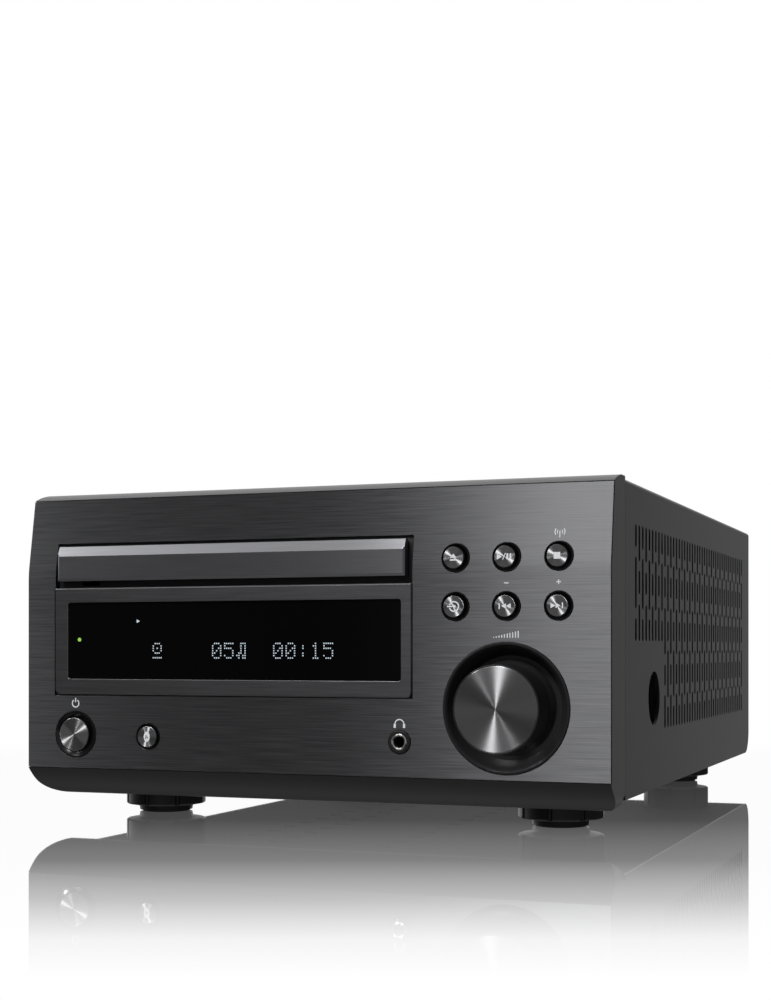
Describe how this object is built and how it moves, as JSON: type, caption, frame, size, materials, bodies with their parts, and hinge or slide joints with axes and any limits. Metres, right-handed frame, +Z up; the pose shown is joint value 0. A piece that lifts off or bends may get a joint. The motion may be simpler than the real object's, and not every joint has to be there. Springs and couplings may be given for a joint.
{
  "type": "stereo receiver",
  "caption": "Compact stereo receiver with a motorised disc tray, dot-matrix display, large volume knob, round keys, vented steel cover, round feet and rear sockets.",
  "frame": {"origin": "under the centre of the whole object, on the surface it stands on", "axes": "+X to the right seen from the front, +Y towards the rear, +Z up"},
  "size_m": [0.21, 0.309, 0.1156],
  "materials": {
    "plate": "graphite, horizontal hairline brushing",
    "moulding": "satin dark grey moulding",
    "satin_frame": "fine satin, dark grey",
    "window": "polished black smoked acrylic",
    "gloss_black": "polished black",
    "spun_metal": "spun, with radial glints",
    "cover_paint": "fine satin dark grey paint",
    "zinc_steel": "zinc plated sheet",
    "panel_paint": "satin black paint",
    "foot_plastic": "fine black texture",
    "pad_rubber": "matt",
    "belt_rubber": "matt",
    "screw_steel": "black oxide",
    "bright_steel": "ground and plated",
    "moulded_black": "fine moulded texture",
    "gear_white": "natural acetal",
    "lamination": "varnished laminations",
    "winding_wrap": "black insulating tape over the winding",
    "sink_aluminium": "mill finish",
    "chip_epoxy": "moulded epoxy",
    "board_green": "solder mask",
    "capacitor_sleeve": "shrink sleeve",
    "cable_grey": "flat cable",
    "encoder_metal": "stamped",
    "tube_glass": "clear glass",
    "led_green": "diffused green lens",
    "terminal_red": "red",
    "terminal_black": "black",
    "socket_metal": "nickel plated"
  },
  "bodies": {
    "chassis": {"front_plate": "plate", "front_bezel": "moulding", "display_frame": "satin_frame", "display_window": "window", "button_collars": "gloss_black", "knob_ring": "gloss_black", "top_cover": "cover_paint", "chassis_pan": "zinc_steel", "clamp_bridge": "zinc_steel", "rear_panel": "panel_paint", "feet": "foot_plastic", "foot_pads": "pad_rubber", "drive_belt": "belt_rubber", "case_screws": "screw_steel", "loading_motor": "bright_steel", "loader_frame": "moulded_black", "clamp_puck": "moulded_black", "terminal_block": "moulded_black", "mains_inlet": "moulded_black", "optical_sockets": "moulded_black", "phones_socket": "moulded_black", "tact_switches": "moulded_black", "transformer_core": "lamination", "transformer_coil": "winding_wrap", "heat_sink": "sink_aluminium", "amplifier_chips": "chip_epoxy", "front_board": "board_green", "main_board": "board_green", "capacitors": "capacitor_sleeve", "ribbon_cable": "cable_grey", "encoder": "encoder_metal", "display_tube": "tube_glass", "standby_led": "led_green", "line_sockets": "socket_metal", "aerial_socket": "socket_metal"},
    "knob": {"volume_knob": "gloss_black", "knob_cap": "spun_metal", "encoder_shaft": "bright_steel"},
    "tray": {"disc_tray": "moulded_black", "tray_door": "satin_frame"},
    "loading_gear": {"pulley_gear": "gear_white"},
    "loading_pulley": {"motor_pulley": "gear_white"},
    "traverse": {"traverse_plate": "moulded_black", "guide_rods": "bright_steel", "disc_motors": "bright_steel"},
    "hub": {"turntable": "gear_white"},
    "sled": {"optical_pickup": "moulded_black"},
    "sled_screw": {"lead_screw": "bright_steel"},
    "eject_key": {"button_eject": "spun_metal"},
    "play_key": {"button_play": "spun_metal"},
    "stop_key": {"button_stop": "spun_metal"},
    "source_key": {"button_source": "spun_metal"},
    "previous_key": {"button_previous": "spun_metal"},
    "next_key": {"button_next": "spun_metal"},
    "pair_key": {"button_pair": "spun_metal"},
    "power_key": {"button_power": "spun_metal"},
    "cap_1": {"terminal_1": "terminal_red"},
    "cap_2": {"terminal_2": "terminal_black"},
    "cap_3": {"terminal_3": "terminal_red"},
    "cap_4": {"terminal_4": "terminal_black"}
  },
  "joints": [
    {"name": "knob_spin", "type": "hinge", "parent": "chassis", "child": "knob", "pos_m": [0.0711, -0.1435, 0.0415], "axis": [0, -1, 0], "continuous": true},
    {"name": "tray_slide", "type": "slide", "parent": "chassis", "child": "tray", "axis": [0, -1, 0], "range_m": [0, 0.133]},
    {"name": "loading_gear_turn", "type": "hinge", "parent": "chassis", "child": "loading_gear", "pos_m": [-0.071, -0.1135, 0.078], "axis": [0, 0, 1], "range_deg": [0, 956]},
    {"name": "loading_pulley_turn", "type": "hinge", "parent": "chassis", "child": "loading_pulley", "pos_m": [-0.03, -0.1135, 0.074], "axis": [0, 0, 1], "range_deg": [0, 2980]},
    {"name": "traverse_tilt", "type": "hinge", "parent": "chassis", "child": "traverse", "pos_m": [-0.02725, 0.0425, 0.077], "axis": [1, 0, 0], "range_deg": [0, 3]},
    {"name": "hub_spin", "type": "hinge", "parent": "traverse", "child": "hub", "pos_m": [-0.02725, -0.0685, 0.088], "axis": [0, 0, 1], "continuous": true},
    {"name": "sled_slide", "type": "slide", "parent": "traverse", "child": "sled", "axis": [0, 1, 0], "range_m": [0, 0.033]},
    {"name": "sled_screw_turn", "type": "hinge", "parent": "traverse", "child": "sled_screw", "pos_m": [-0.06025, -0.0185, 0.0806], "axis": [0, 1, 0], "range_deg": [0, 3970]},
    {"name": "eject_press", "type": "slide", "parent": "chassis", "child": "eject_key", "axis": [0, 1, 0], "range_m": [0, 0.0006], "stiffness_N_per_m": 1500, "springref_m": -0.0003},
    {"name": "play_press", "type": "slide", "parent": "chassis", "child": "play_key", "axis": [0, 1, 0], "range_m": [0, 0.0006], "stiffness_N_per_m": 1500, "springref_m": -0.0003},
    {"name": "stop_press", "type": "slide", "parent": "chassis", "child": "stop_key", "axis": [0, 1, 0], "range_m": [0, 0.0006], "stiffness_N_per_m": 1500, "springref_m": -0.0003},
    {"name": "source_press", "type": "slide", "parent": "chassis", "child": "source_key", "axis": [0, 1, 0], "range_m": [0, 0.0006], "stiffness_N_per_m": 1500, "springref_m": -0.0003},
    {"name": "previous_press", "type": "slide", "parent": "chassis", "child": "previous_key", "axis": [0, 1, 0], "range_m": [0, 0.0006], "stiffness_N_per_m": 1500, "springref_m": -0.0003},
    {"name": "next_press", "type": "slide", "parent": "chassis", "child": "next_key", "axis": [0, 1, 0], "range_m": [0, 0.0006], "stiffness_N_per_m": 1500, "springref_m": -0.0003},
    {"name": "pair_press", "type": "slide", "parent": "chassis", "child": "pair_key", "axis": [0, 1, 0], "range_m": [0, 0.0006], "stiffness_N_per_m": 1500, "springref_m": -0.0003},
    {"name": "power_press", "type": "slide", "parent": "chassis", "child": "power_key", "axis": [0, 1, 0], "range_m": [0, 0.0006], "stiffness_N_per_m": 1500, "springref_m": -0.0003},
    {"name": "cap_1_turn", "type": "hinge", "parent": "chassis", "child": "cap_1", "pos_m": [0.01, 0.1465, 0.04], "axis": [0, 1, 0], "range_deg": [0, 1080]},
    {"name": "cap_2_turn", "type": "hinge", "parent": "chassis", "child": "cap_2", "pos_m": [0.026, 0.1465, 0.04], "axis": [0, 1, 0], "range_deg": [0, 1080]},
    {"name": "cap_3_turn", "type": "hinge", "parent": "chassis", "child": "cap_3", "pos_m": [0.044, 0.1465, 0.04], "axis": [0, 1, 0], "range_deg": [0, 1080]},
    {"name": "cap_4_turn", "type": "hinge", "parent": "chassis", "child": "cap_4", "pos_m": [0.06, 0.1465, 0.04], "axis": [0, 1, 0], "range_deg": [0, 1080]}
  ],
  "couplings": [
    {"joint": "loading_gear_turn", "follows": "tray_slide", "rad_per_m": 125},
    {"joint": "loading_pulley_turn", "follows": "tray_slide", "rad_per_m": 389.71},
    {"joint": "sled_screw_turn", "follows": "sled_slide", "rad_per_m": 2094.4}
  ]
}
